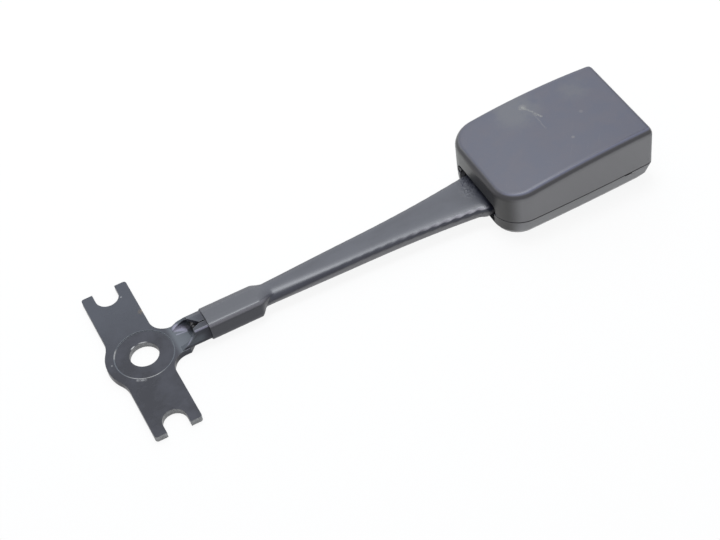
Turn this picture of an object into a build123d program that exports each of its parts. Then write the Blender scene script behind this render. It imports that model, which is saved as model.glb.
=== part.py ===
from build123d import *
from math import asin, atan2, cos, pi, sin, tan
import os

# Seat belt buckle on a wire rope stalk, in millimetres.
# Origin: centre of the anchor bolt hole, on the underside of the anchor plate.
# +X runs along the stalk to the button, +Y is sideways, +Z is up.

# Anchor plate
PLATE_T = 2.8
HOLE_R = 6.1
SEAT_R = 12.3
SEAT_DEPTH = 0.25
EYE_R = 16.1
ARM_REACH = 40.9
ARM_W = 20.1
ARM_X = -2.1
SLOT_W = 10.0
SLOT_DEPTH = 9.3
TIP_R = 1.2
EYE_BLEND_R = 12.0
NECK_HALF = 7.4
NECK_BLEND_R = 7.0
NECK_END_CUT = 2.6

# Wire rope
ROPE_D = 4.8
ROPE_START_X = 22.0
LEG_GAP = 0.1
LEG_SLOPE = 0.026
LEG_KINK_X = 52.0
LEG_BEND_X = 122.5
LEG_KINK_R = 600.0
LEG_BEND_R = 500.0
LOOP_GAP = 2.5
LOOP_SET = 11.37
LOOP_REST = 0.15

# Crimp barrel, rolled from the plate round the rope
TROUGH_X = 12.6
BARREL_X = 21.0
BARREL_END_X = 50.0
BARREL_WALL = 1.8
BARREL_FLOOR = 1.3
BARREL_CHAMFER = 1.8
BARREL_LIFT = 0.7
NEAR_LEAN = 1.1
NEAR_KNEE_Z = 3.8
ROPE_FIT = 0.3
SEAM_Y = -2.4
SEAM_W = 0.5
THROAT_DEPTH = 3.6

# Shrink sleeve over barrel and rope
SLEEVE_X = 27.3
SLEEVE_END_X = 159.4
SLEEVE_WALL = 0.5
SLEEVE_FIT = 0.1
SHOULDER_L = 3.0
SHOULDER_SCALE = 0.72

# Covers
MOUTH_X = 154.2
END_X = 225.8
COVER_ROOM = 9.0
END_TAPER = 1.2
BULGE = 0.5
MOUTH_CORNER_R = 12.5
END_CORNER_R = 2.2
PARTING_Z = 7.9
TOP_END_Z = 26.6
TOP_MOUTH_Z = 21.8
TOP_BULGE = 1.8
TOP_EDGE_R = 3.2
OVERRUN = 12.0
COVER_WALL = 2.2
BASE_INSET = 0.9
BASE_LEAN = 2.0
BASE_SHIFT = 0.7
BASE_BEVEL = 1.4
BASE_BEVEL_Z = 2.4
END_BEVEL = 3.0
OPENING_ROOM = 2.3
OPENING_Z = 1.8
OPENING_TOP_Z = 12.6
OPENING_R = 3.0
EAR_T = 1.1
EAR_L = 2.0
EAR_SET = 0.6
WINDOW_Z = 2.9
WINDOW_TOP_Z = 22.6
SPLIT_GAP = 0.3
FIT = 0.3
PAD_W = 3.0
FENCE_L = 4.0
FENCE_T = 1.2
FENCE_SET = 6.0
FENCE_PITCH = 36.0
HOOK_L = 5.0
HOOK_T = 1.4
HOOK_SET = 12.0
HOOK_PITCH = 32.0
NOTCH_SET = 12.6
NOTCH_L = 3.6
NOTCH_H = 1.6

# Steel frame
FRAME_Z = 2.3
FRAME_T = 2.1
FRAME_WALL = 2.3
TONGUE_SIDE_GAP = 1.2
FRAME_REAR = 5.0
FRAME_END_GAP = 6.8
TALL_WALL_X = 178.0
TALL_WALL_END_X = 204.0
TALL_WALL_Z = 18.0
LOW_WALL_Z = 9.4
TAB_GAP = 1.6
TAB_T = 2.0
TAB_HALF = 5.0
SADDLE_WALL = 3.25
STUD_FIT = 0.1
KEEPER_T = 1.8

# Latch
AXLE_X = 186.0
AXLE_Z = 13.2
AXLE_R = 1.5
AXLE_FIT = 0.05
KNUCKLE_R = 2.8
LATCH_REAR = 3.0
LATCH_FRONT = 23.0
LATCH_SIDE_GAP = 2.7
LATCH_T = 2.0
TOOTH_X = 18.5
TOOTH_L = 3.0
TOOTH_HALF = 6.0
TOOTH_FIT = 0.6
TOOTH_Z = 3.2
LUG_X = 14.0
LUG_L = 2.0
LUG_OUT = 2.3
RING_T = 0.8
RING_R = 2.9

# Springs
LATCH_SPRING_X = 8.0
LATCH_SPRING_R = 2.6
LATCH_WIRE_R = 0.35
LATCH_TURNS = 4
SPRING_ROOM = 2.5
BUTTON_SPRING_Z = 15.0
BUTTON_SPRING_R = 2.0
BUTTON_WIRE_R = 0.3
BUTTON_TURNS = 6
EJECTOR_SPRING_R = 1.9
EJECTOR_WIRE_R = 0.3
EJECTOR_TURNS = 7

# Bridge over the latch
BRIDGE_T = 1.5
BRIDGE_L = 10.0
BRIDGE_FLANGE = 1.3
BRIDGE_DROP = 5.5
RIVET_R = 1.2
RIVET_DROP = 3.0
RIVET_HALF_PITCH = 2.8
RIVET_HEAD_R = 2.0
RIVET_HEAD_T = 0.85
RIB_T = 1.5
RIB_HALF_GAP = 2.0

# Ejector and tongue guide
EJECTOR_L = 9.5
EJECTOR_TRAVEL = 10.0
EJECTOR_H = 4.3
TONGUE_W = 27.0
TONGUE_H = 4.7
TONGUE_Z = 4.7
GUIDE_L = 4.0
GUIDE_SET = 2.4

# Release button
BUTTON_TRAVEL = 5.0
BUTTON_GAP = 0.8
BUTTON_Z = 10.3
BUTTON_TOP_Z = 22.1
BUTTON_L = 13.0
BUTTON_WALL = 1.8
BUTTON_SET = 1.0
FLANGE_T = 2.4
FLANGE_EDGE = 2.2
ARM_T = 1.8
RAMP_RISE = 4.0
RAMP_GAP = 0.4

# Worked out from the sizes above
ROPE_R = ROPE_D / 2
LEG_Y = ROPE_R + LEG_GAP / 2
CAVITY_R = ROPE_R + ROPE_FIT
FRAME_HALF = TONGUE_W / 2 + TONGUE_SIDE_GAP + FRAME_WALL
FRAME_IN = FRAME_HALF - FRAME_WALL
HALF_W = FRAME_HALF + COVER_ROOM
END_HALF_W = HALF_W - END_TAPER
LOOP_R = FRAME_IN - LOOP_GAP - ROPE_R
LATCH_HALF = FRAME_IN - LATCH_SIDE_GAP
OPENING_HALF = LOOP_R + ROPE_R + OPENING_ROOM
WINDOW_HALF = FRAME_HALF
BUTTON_HALF = WINDOW_HALF - BUTTON_GAP
BUTTON_SPRING_Y = FRAME_HALF + SPRING_ROOM
FLANGE_HALF = BUTTON_SPRING_Y + FLANGE_EDGE
BARREL_HALF = LEG_Y + CAVITY_R + BARREL_WALL
ROPE_Z = BARREL_LIFT + BARREL_FLOOR + CAVITY_R
BARREL_TOP = ROPE_Z + CAVITY_R + BARREL_WALL
BARREL_MID_X = (ROPE_START_X + BARREL_END_X) / 2
LEG_BEND_Y = LEG_Y + LEG_SLOPE * (LEG_BEND_X - LEG_KINK_X)
LOOP_X = MOUTH_X + LOOP_SET
LOOP_RUN = LOOP_X - LEG_BEND_X
LOOP_TURN = asin(LOOP_R / (LOOP_RUN**2 + LEG_BEND_Y**2) ** 0.5) - atan2(LEG_BEND_Y, LOOP_RUN)
LEG_END_SLOPE = tan(LOOP_TURN)
FRAME_X = LOOP_X - FRAME_REAR
FRAME_END_X = END_X - FRAME_END_GAP
FRAME_TOP = FRAME_Z + FRAME_T
LOOP_Z = FRAME_TOP + LOOP_REST + ROPE_R
ROPE_CLIMB = (LOOP_Z - ROPE_Z) / (LOOP_X - BARREL_MID_X)
SADDLE_R = LOOP_R - ROPE_R - 0.05
STUD_R = SADDLE_R - SADDLE_WALL - STUD_FIT
SADDLE_TOP = LOOP_Z + ROPE_R + FIT
KEEPER_TOP = SADDLE_TOP + KEEPER_T
LATCH_TOP = AXLE_Z - 1.0
LATCH_Z = LATCH_TOP - LATCH_T
TOOTH_X0 = AXLE_X + TOOTH_X
EJECTOR_X = TOOTH_X0 - 1.0 - EJECTOR_L
TAB_X = EJECTOR_X - EJECTOR_TRAVEL - TAB_GAP - TAB_T
EJECTOR_Z = FRAME_TOP + FIT
EJECTOR_MID_Z = EJECTOR_Z + EJECTOR_H / 2
BRIDGE_MID_X = AXLE_X + LATCH_SPRING_X
BRIDGE_Z = TALL_WALL_Z + 0.05
RIVET_Z = BRIDGE_Z - RIVET_DROP
GUIDE_X = END_X - GUIDE_SET - GUIDE_L
BUTTON_FRONT = END_X - BUTTON_SET
END_WALL_X = END_X - COVER_WALL
FLANGE_X = END_WALL_X - FIT - FLANGE_T
SPRING_STOP_X = TALL_WALL_END_X + 1.6
SPRING_STOP_T = 2.0
ARM_OUT = FRAME_IN - FIT
ARM_IN = ARM_OUT - ARM_T
RAMP_X = AXLE_X + LUG_X + LUG_L + RAMP_GAP


def block(x0, x1, y0, y1, z0, z1):
    """A box between two corners."""
    middle = Pos((x0 + x1) / 2, (y0 + y1) / 2, (z0 + z1) / 2)
    return middle * Box(x1 - x0, y1 - y0, z1 - z0)


def band(x0, x1, half, z0, z1):
    """A box centred on y = 0."""
    return block(x0, x1, -half, half, z0, z1)


def rod_y(x, z, radius, y0, y1):
    """A round rod along Y."""
    return Pos(x, (y0 + y1) / 2, z) * Rot(90, 0, 0) * Cylinder(radius, y1 - y0)


def rod_z(x, y, radius, z0, z1):
    """A round rod along Z."""
    return Pos(x, y, (z0 + z1) / 2) * Cylinder(radius, z1 - z0)


def prism_y(points, y0, y1):
    """A side view in XZ, pushed from y0 to y1."""
    side = make_face(Polyline(*points, close=True))
    return Pos(0, y1, 0) * extrude(Plane.XZ * side, y1 - y0)


def prism_x(face, x0, x1):
    """A cross section in YZ, pushed from x0 to x1."""
    return Pos(x0, 0, 0) * extrude(Plane.YZ * face, x1 - x0)


def both_sides(part):
    """The part and its mirror image across y = 0."""
    return part + mirror(part, Plane.XZ)


def coil(radius, wire_r, length, turns):
    """A compression spring along Z from z = 0, with its six-sided wire inside the length."""
    rise = length - 2 * wire_r
    path = Helix(rise / turns, rise, radius - wire_r)
    section = Plane(origin=path @ 0, z_dir=path % 0) * RegularPolygon(wire_r, 6)
    return Pos(0, 0, wire_r) * sweep(section, path=path, is_frenet=True)


def save(part, name):
    export_step(part, f"parts/{name}.step")


# Anchor plate with its rolled barrel


def plate_outline():
    arm = Pos(ARM_X, 0) * Rectangle(ARM_W, 2 * ARM_REACH)
    eye = Circle(EYE_R) & (Pos(-EYE_R, 0) * Rectangle(2 * EYE_R, 2 * EYE_R))
    neck_end = BARREL_X - 1.0
    neck = Pos(neck_end / 2, 0) * Rectangle(neck_end, 2 * NECK_HALF)
    shape = arm + eye + neck
    shape = chamfer(shape.vertices().group_by(Axis.X)[-1], NECK_END_CUT)
    edge_x = ARM_X + ARM_W / 2
    tips = [v for v in shape.vertices() if abs(abs(v.Y) - ARM_REACH) < 0.01]
    shape = fillet(tips, TIP_R)
    roots = [v for v in shape.vertices() if abs(v.X - edge_x) < 0.01 and abs(abs(v.Y) - NECK_HALF) < 0.01]
    shape = fillet(roots, NECK_BLEND_R)
    rear_x = ARM_X - ARM_W / 2
    joins = [v for v in shape.vertices() if abs(v.X - rear_x) < 0.01 and TIP_R < abs(v.Y) < EYE_R]
    shape = fillet(joins, EYE_BLEND_R)
    slot_r = SLOT_W / 2
    for side in (1, -1):
        root_y = side * (ARM_REACH - SLOT_DEPTH + slot_r)
        shape -= Pos(ARM_X, root_y) * Circle(slot_r)
        shape -= Pos(ARM_X, root_y + side * SLOT_DEPTH / 2) * Rectangle(SLOT_W, SLOT_DEPTH)
    return shape


def barrel_outline():
    """Outside of the crimp: the near wing is squarer, the far one slopes away from the seam.

    Its underside lies above the plate's, so that the sleeve round it clears what the plate is bolted to.
    """
    points = [
        (-BARREL_HALF + BARREL_CHAMFER, BARREL_LIFT),
        (-BARREL_HALF, BARREL_LIFT + BARREL_CHAMFER),
        (-BARREL_HALF, NEAR_KNEE_Z),
        (-BARREL_HALF + NEAR_LEAN, BARREL_TOP),
        (SEAM_Y, BARREL_TOP),
        (LEG_Y, BARREL_TOP - 0.5),
        (BARREL_HALF - 1.6, BARREL_TOP - 2.0),
        (BARREL_HALF, BARREL_TOP - 4.4),
        (BARREL_HALF, BARREL_LIFT + BARREL_CHAMFER),
        (BARREL_HALF - BARREL_CHAMFER, BARREL_LIFT),
    ]
    shape = Sketch() + make_face(Polyline(*points, close=True))
    corner = [v for v in shape.vertices() if v.Y > BARREL_LIFT + BARREL_CHAMFER + 1 and abs(v.X - SEAM_Y) > 1]
    return fillet(corner, 1.1)


def cavity_outline():
    legs = Circle(CAVITY_R)
    shape = Pos(LEG_Y, ROPE_Z) * legs + Pos(-LEG_Y, ROPE_Z) * legs
    return shape + Pos(0, ROPE_Z) * Rectangle(2 * LEG_Y, 2 * CAVITY_R)


def anchor_plate():
    plate = extrude(plate_outline(), PLATE_T)
    plate -= rod_z(0, 0, HOLE_R, -1, PLATE_T + 1)
    plate -= rod_z(0, 0, SEAT_R, PLATE_T - SEAT_DEPTH, PLATE_T + 1)
    barrel = prism_x(barrel_outline(), TROUGH_X, BARREL_END_X)
    barrel -= prism_x(cavity_outline(), TROUGH_X - 1, BARREL_END_X + 1)
    over = BARREL_TOP + 1
    barrel -= block(TROUGH_X - 1, BARREL_END_X + 1, SEAM_Y, SEAM_Y + SEAM_W, ROPE_Z, over)
    rim = [
        (TROUGH_X - 1, PLATE_T),
        (TROUGH_X + 1.5, PLATE_T),
        (BARREL_X - 2.0, BARREL_TOP - 3.6),
        (BARREL_X, BARREL_TOP - 1.8),
        (BARREL_X, over),
        (TROUGH_X - 1, over),
    ]
    barrel -= prism_y(rim, -BARREL_HALF - 1, BARREL_HALF + 1)
    throat = Polyline(
        (BARREL_X - 2, -BARREL_HALF + 2.2),
        (BARREL_X + THROAT_DEPTH, SEAM_Y),
        (BARREL_X + THROAT_DEPTH, SEAM_Y + SEAM_W),
        (BARREL_X - 2, BARREL_HALF - 1.6),
        close=True,
    )
    barrel -= Pos(0, 0, ROPE_Z) * extrude(make_face(throat), over - ROPE_Z)
    return plate + barrel


# Wire rope, bent double round the saddle


def rope_plane():
    return Plane(origin=(BARREL_MID_X, 0, ROPE_Z), x_dir=(1, 0, ROPE_CLIMB), z_dir=(-ROPE_CLIMB, 0, 1))


def rope_path():
    """One leg out, round the loop and back, as straight runs and tangent arcs."""
    touch_x = LOOP_X - LOOP_R * sin(LOOP_TURN)
    touch_y = LOOP_R * cos(LOOP_TURN)
    leg = FilletPolyline(
        (ROPE_START_X, LEG_Y),
        (LEG_KINK_X, LEG_Y),
        (LEG_BEND_X, LEG_BEND_Y),
        (touch_x, touch_y),
        radius=[LEG_KINK_R, LEG_BEND_R],
    )
    loop = ThreePointArc((touch_x, touch_y), (LOOP_X + LOOP_R, 0), (touch_x, -touch_y))
    flat = Wire(leg.edges() + [loop.edge()] + mirror(leg, Plane.XZ).edges())
    return rope_plane() * Pos(-BARREL_MID_X, 0, 0) * flat


def wire_rope():
    path = rope_path()
    section = Plane(origin=path @ 0, z_dir=path % 0) * Circle(ROPE_R)
    rope = sweep(section, path=path)
    print("rope volume / section x length:", rope.volume / (pi * ROPE_R**2 * path.length))
    return rope


def leg_y(x):
    """Sideways place of a leg's centre at x."""
    if x <= LEG_KINK_X:
        return LEG_Y
    reach = LEG_BEND_R * (LEG_END_SLOPE - LEG_SLOPE) / 2
    straight = LEG_Y + LEG_SLOPE * (x - LEG_KINK_X)
    into = min(max(x - (LEG_BEND_X - reach), 0), 2 * reach)
    past = max(x - (LEG_BEND_X + reach), 0)
    return straight + into**2 / (2 * LEG_BEND_R) + past * (LEG_END_SLOPE - LEG_SLOPE)


# Shrink sleeve


def sleeve_section(x, skin):
    half_w = leg_y(x) + ROPE_R + SLEEVE_FIT + skin
    half_h = ROPE_R + SLEEVE_FIT + skin
    height = ROPE_Z + (x - BARREL_MID_X) * ROPE_CLIMB
    shape = RectangleRounded(2 * half_w, 2 * half_h, half_h - 0.15)
    return Plane(origin=(x, 0, height), x_dir=(0, 1, 0), z_dir=(1, 0, 0)) * shape


def sleeve_stem(skin, start, end):
    steps = 8
    stations = [start + (end - start) * i / steps for i in range(steps + 1)]
    return loft([sleeve_section(x, skin) for x in stations])


def rope_sleeve():
    over_barrel = offset(barrel_outline(), SLEEVE_FIT + SLEEVE_WALL)
    drop_x = BARREL_END_X + SLEEVE_WALL
    outer = prism_x(over_barrel, SLEEVE_X, drop_x)
    small = Pos(0, ROPE_Z * (1 - SHOULDER_SCALE)) * scale(over_barrel, SHOULDER_SCALE)
    start = Plane(origin=(drop_x, 0, 0), x_dir=(0, 1, 0), z_dir=(1, 0, 0))
    outer += loft([start * over_barrel, Pos(SHOULDER_L, 0, 0) * (start * small)], ruled=True)
    outer += sleeve_stem(SLEEVE_WALL, BARREL_END_X, SLEEVE_END_X)
    inner = prism_x(offset(barrel_outline(), SLEEVE_FIT), SLEEVE_X - 1, BARREL_END_X + SLEEVE_FIT)
    inner += sleeve_stem(0, BARREL_END_X - 1, SLEEVE_END_X + 1)
    return outer - inner


# Covers


def bow(x, start, end, rise):
    """Height at x of a shallow arc from start to end that rises past their chord."""
    run = end[0] - start[0]
    drop = start[1] - end[1]
    chord = (run**2 + drop**2) ** 0.5
    radius = chord**2 / (8 * rise) + rise / 2
    centre_x = (start[0] + end[0]) / 2 - (radius - rise) * drop / chord
    centre_y = (start[1] + end[1]) / 2 - (radius - rise) * run / chord
    return centre_y + (radius**2 - (x - centre_x) ** 2) ** 0.5


def side_y(x):
    return bow(x, (MOUTH_X, HALF_W), (END_X, END_HALF_W), BULGE)


def top_z(x):
    return bow(x, (MOUTH_X, TOP_MOUTH_Z), (END_X, TOP_END_Z), TOP_BULGE)


def head_outline(inset=0.0, lean=0.0, end_r=END_CORNER_R):
    """Plan of the covers: near parallel sides, round mouth corners, tight end corners."""
    x0 = MOUTH_X + inset
    x1 = END_X - inset - lean
    side = [(x, side_y(x) - inset) for x in (x0, (x0 + x1) / 2, x1)]
    other = [(x, -y) for x, y in side]
    edges = [
        Line(side[0], other[0]),
        ThreePointArc(*other),
        Line(other[2], side[2]),
        ThreePointArc(*reversed(side)),
    ]
    shape = Sketch() + make_face(edges)
    shape = fillet(shape.vertices().group_by(Axis.X)[0], MOUTH_CORNER_R - inset)
    if end_r:
        shape = fillet(shape.vertices().group_by(Axis.X)[-1], max(end_r - inset, 0.8))
    return shape


def upper_form(inset=0.0):
    """Outside of the upper cover, or its inside when inset by the wall.

    The rounded rim is run past the button end, then the end is cut square.
    """
    x0 = MOUTH_X + inset
    x1 = END_X + OVERRUN
    base = PARTING_Z - inset
    crown = [(x, top_z(x) - inset) for x in (x0, (x0 + x1) / 2, x1)]
    side = make_face([Polyline(crown[0], (x0, base), (x1, base), crown[2]), ThreePointArc(*crown)])
    tall = extrude(Plane.XZ * side, HALF_W + 1, both=True)
    body = tall & extrude(Pos(0, 0, base) * head_outline(inset, -OVERRUN - inset, 0), TOP_END_Z)
    rim = [e for e in body.edges() if e.center().Z > OPENING_TOP_Z + 4 and e.center().X < END_X]
    rim = [e for e in rim if abs(e.tangent_at(0.5).Z) < 0.5]
    body = fillet(rim, TOP_EDGE_R - inset * 0.8)
    return body & band(MOUTH_X, END_X - inset, HALF_W + 1, 0, 2 * TOP_END_Z)


def upper_cover():
    outer = upper_form()
    end = outer.faces().sort_by(Axis.X)[-1]
    outer = fillet([e for e in end.edges() if e.center().Z > PARTING_Z + 1], END_CORNER_R)
    cover = outer - upper_form(COVER_WALL)
    opening = Pos(0, (PARTING_Z + OPENING_TOP_Z) / 2 - OPENING_R) * RectangleRounded(
        2 * (OPENING_HALF + EAR_T + FIT), OPENING_TOP_Z - PARTING_Z + 2 * OPENING_R, OPENING_R
    )
    cover -= prism_x(opening, MOUTH_X - 1, MOUTH_X + COVER_WALL + 1)
    cover -= band(END_WALL_X - 1, END_X + 1, WINDOW_HALF, 0, WINDOW_TOP_Z)
    rib_z = BRIDGE_Z + BRIDGE_T + 0.1
    rib_x = BRIDGE_MID_X + RIB_HALF_GAP
    ribs = band(rib_x, rib_x + RIB_T, WINDOW_HALF, rib_z, TOP_END_Z)
    ribs += Pos(-2 * RIB_HALF_GAP - RIB_T, 0, 0) * ribs
    stop = block(
        SPRING_STOP_X - SPRING_STOP_T,
        SPRING_STOP_X,
        FRAME_HALF + 0.4,
        HALF_W,
        BUTTON_SPRING_Z - 3,
        TOP_END_Z,
    )
    ribs += both_sides(stop)
    cover += ribs & upper_form(COVER_WALL - 0.2)
    return cover


def lower_form():
    """Outside of the lower cover, drawn in towards its bevelled base, and most at the button end."""
    foot_inset = BASE_INSET + BASE_BEVEL
    foot = Pos(-BASE_SHIFT, 0, 0) * head_outline(foot_inset, BASE_LEAN + END_BEVEL - foot_inset)
    waist = Pos(-BASE_SHIFT, 0, BASE_BEVEL_Z) * head_outline(BASE_INSET, BASE_LEAN - BASE_INSET)
    top = Pos(0, 0, PARTING_Z - SPLIT_GAP) * head_outline()
    return loft([foot, waist, top], ruled=True)


def lower_cover():
    outer = lower_form()
    floor = OPENING_Z + 0.2
    hollow = Pos(0, 0, PARTING_Z) * head_outline(COVER_WALL)
    hollow_base = Pos(-BASE_SHIFT, 0, floor) * head_outline(COVER_WALL + BASE_INSET, BASE_LEAN - BASE_INSET)
    cover = outer - loft([hollow_base, hollow], ruled=True)
    cover -= band(MOUTH_X - 1, MOUTH_X + COVER_WALL + 3, OPENING_HALF, OPENING_Z, PARTING_Z + 1)
    cover -= band(END_WALL_X - BASE_LEAN - 1.5, END_X + 1, WINDOW_HALF, WINDOW_Z, PARTING_Z + 1)
    pad_end = FRAME_IN - 1
    pads = block(FRAME_X + 4, FRAME_END_X - 4, pad_end - PAD_W, pad_end, floor - 0.2, FRAME_Z)
    cover += both_sides(pads)
    fence_x = FRAME_X + FENCE_SET
    fence_y = FRAME_HALF + FIT
    fence = block(fence_x, fence_x + FENCE_L, fence_y, fence_y + FENCE_T, floor - 0.2, PARTING_Z)
    fence += Pos(FENCE_PITCH, 0, 0) * fence
    cover += both_sides(fence)
    ear_top = OPENING_TOP_Z - OPENING_R + 0.5
    ear = Pos(OPENING_HALF + EAR_T / 2, (OPENING_Z + ear_top) / 2) * RectangleRounded(
        EAR_T, ear_top - OPENING_Z, EAR_T * 0.45
    )
    cover += both_sides(prism_x(ear, MOUTH_X + EAR_SET, MOUTH_X + EAR_SET + EAR_L))
    hook = snap_hook(FRAME_X + HOOK_SET)
    hook += Pos(HOOK_PITCH, 0, 0) * hook
    cover += both_sides(hook)
    notch_y = side_y(END_X - NOTCH_SET)
    notch = Pos(END_X - NOTCH_SET, -notch_y, PARTING_Z) * Box(NOTCH_L, COVER_WALL, NOTCH_H)
    return cover - notch


def snap_hook(x):
    """A springy tongue with a barb, inside the upper cover's side wall."""
    y = END_HALF_W - COVER_WALL - FIT - HOOK_T - 0.2
    stem = block(x, x + HOOK_L, y, y + HOOK_T, OPENING_Z, PARTING_Z + 3.6)
    foot = block(x, x + HOOK_L, y, y + 3.0, OPENING_Z, PARTING_Z - 2.4)
    return stem + foot


# Frame, rope anchorage and bridge


def buckle_frame():
    base = band(FRAME_X, FRAME_END_X, FRAME_HALF, FRAME_Z, FRAME_TOP)
    side = [
        (TALL_WALL_X - 5, FRAME_Z),
        (FRAME_END_X, FRAME_Z),
        (FRAME_END_X, LOW_WALL_Z - 1.5),
        (FRAME_END_X - 1.5, LOW_WALL_Z),
        (TALL_WALL_END_X + 3.0, LOW_WALL_Z),
        (TALL_WALL_END_X, LOW_WALL_Z + 3.0),
        (TALL_WALL_END_X, TALL_WALL_Z),
        (TALL_WALL_X + 3, TALL_WALL_Z),
        (TALL_WALL_X, TALL_WALL_Z - 5.0),
        (TALL_WALL_X - 5, FRAME_TOP + 3),
    ]
    wall = prism_y(side, FRAME_IN, FRAME_HALF)
    frame = base + both_sides(wall)
    corners = [
        e for e in frame.edges().filter_by(Axis.Z)
        if abs(e.center().X - FRAME_X) < 0.01 and abs(abs(e.center().Y) - FRAME_HALF) < 0.01
    ]
    frame = fillet(corners, 5.0)
    frame += band(TAB_X, TAB_X + TAB_T, TAB_HALF, FRAME_Z, EJECTOR_MID_Z + EJECTOR_SPRING_R + 0.6)
    frame -= rod_z(LOOP_X, 0, STUD_R + STUD_FIT, FRAME_Z - 1, FRAME_TOP + 1)
    frame -= Pos(LOOP_X, 0, FRAME_Z + 0.6) * Cone(STUD_R + 1.6, STUD_R, 1.2)
    frame -= rod_y(AXLE_X, AXLE_Z, AXLE_R + AXLE_FIT, -FRAME_HALF - 1, FRAME_HALF + 1)
    tooth_end = TOOTH_X0 + TOOTH_L
    slot_half = TOOTH_HALF + TOOTH_FIT
    frame -= band(TOOTH_X0 - TOOTH_FIT, tooth_end + TOOTH_FIT + 1, slot_half, FRAME_Z - 1, FRAME_TOP + 1)
    for x in rivet_places():
        frame -= rod_y(x, RIVET_Z, RIVET_R + AXLE_FIT, -FRAME_HALF - 1, FRAME_HALF + 1)
    return frame


def rope_saddle():
    saddle = rod_z(LOOP_X, 0, SADDLE_R, FRAME_TOP, SADDLE_TOP)
    saddle &= band(FRAME_X + 0.5, LOOP_X + LOOP_R, SADDLE_R, 0, SADDLE_TOP)
    return saddle - rod_z(LOOP_X, 0, STUD_R + STUD_FIT, 0, SADDLE_TOP + 1)


def rope_keeper():
    keeper = band(FRAME_X + 0.5, TAB_X - FIT, FRAME_IN - 1.0, SADDLE_TOP, KEEPER_TOP)
    corners = keeper.edges().filter_by(Axis.Z)
    keeper = fillet(corners, 3.0)
    return keeper - rod_z(LOOP_X, 0, STUD_R + STUD_FIT, SADDLE_TOP - 1, KEEPER_TOP + 1)


def rope_stud():
    stud = rod_z(LOOP_X, 0, STUD_R, FRAME_Z, KEEPER_TOP + 0.1)
    stud += Pos(LOOP_X, 0, FRAME_Z + 0.5) * Cone(STUD_R + 1.4, STUD_R, 1.0)
    head = rod_z(LOOP_X, 0, STUD_R + 2.0, KEEPER_TOP + 0.05, KEEPER_TOP + 2.0)
    return stud + chamfer(head.edges().group_by(Axis.Z)[-1], 1.2)


def rivet_places():
    return [BRIDGE_MID_X - RIVET_HALF_PITCH, BRIDGE_MID_X + RIVET_HALF_PITCH]


def frame_bridge():
    out = FRAME_HALF + 0.05 + BRIDGE_FLANGE
    x0 = BRIDGE_MID_X - BRIDGE_L / 2
    x1 = BRIDGE_MID_X + BRIDGE_L / 2
    bridge = band(x0, x1, out, BRIDGE_Z, BRIDGE_Z + BRIDGE_T)
    flange = block(x0, x1, FRAME_HALF + 0.05, out, BRIDGE_Z - BRIDGE_DROP, BRIDGE_Z + BRIDGE_T)
    bridge += both_sides(flange)
    bridge = fillet(bridge.edges().filter_by(Axis.X).group_by(Axis.Z)[-1], 1.0)
    for x in rivet_places():
        bridge -= rod_y(x, RIVET_Z, RIVET_R + AXLE_FIT, -out - 1, out + 1)
    return bridge


def bridge_rivets():
    out = FRAME_HALF + 0.05 + BRIDGE_FLANGE
    rivets = Part()
    for x in rivet_places():
        shank = rod_y(x, RIVET_Z, RIVET_R, FRAME_IN, out + 0.1)
        head = rod_y(x, RIVET_Z, RIVET_HEAD_R, out + 0.05, out + 0.05 + RIVET_HEAD_T)
        rivets += both_sides(shank + head)
    return rivets


# Latch, its axle and rings


def latch():
    rear = AXLE_X - LATCH_REAR
    front = AXLE_X + LATCH_FRONT
    plate = band(rear, front, LATCH_HALF, LATCH_Z, LATCH_TOP)
    tooth_end = TOOTH_X0 + TOOTH_L
    tooth = [
        (TOOTH_X0, LATCH_TOP),
        (TOOTH_X0, TOOTH_Z),
        (tooth_end - 1.6, TOOTH_Z),
        (tooth_end, LATCH_Z - 1.0),
        (tooth_end, LATCH_TOP),
    ]
    plate += prism_y(tooth, -TOOTH_HALF, TOOTH_HALF)
    lug = block(AXLE_X + LUG_X, AXLE_X + LUG_X + LUG_L, 0, LATCH_HALF + LUG_OUT, LATCH_Z, LATCH_TOP)
    plate += both_sides(lug)
    plate += rod_y(AXLE_X, AXLE_Z, KNUCKLE_R, -LATCH_HALF, LATCH_HALF)
    plate -= rod_y(AXLE_X, AXLE_Z, AXLE_R + AXLE_FIT, -LATCH_HALF - 1, LATCH_HALF + 1)
    ends = [e for e in plate.edges().filter_by(Axis.Z) if abs(e.center().X - front) < 0.01]
    return fillet(ends, 2.0)


def latch_axle():
    reach = FRAME_HALF + RING_T + 1.0
    axle = rod_y(AXLE_X, AXLE_Z, AXLE_R, -reach, reach)
    return chamfer(axle.edges().filter_by(GeomType.CIRCLE), 0.3)


def axle_rings():
    near = FRAME_HALF + 0.05
    ring = rod_y(AXLE_X, AXLE_Z, RING_R, near, near + RING_T)
    ring -= rod_y(AXLE_X, AXLE_Z, AXLE_R + 0.02, near - 1, near + RING_T + 1)
    ring -= block(AXLE_X - 0.8, AXLE_X + 0.8, near - 1, near + RING_T + 1, AXLE_Z - RING_R - 1, AXLE_Z)
    return both_sides(ring)


def latch_spring():
    spring = coil(LATCH_SPRING_R, LATCH_WIRE_R, BRIDGE_Z - LATCH_TOP - 0.1, LATCH_TURNS)
    return Pos(BRIDGE_MID_X, 0, LATCH_TOP + 0.05) * spring


# Ejector


def ejector_pocket():
    return EJECTOR_X + EJECTOR_L - 2.5


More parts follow.
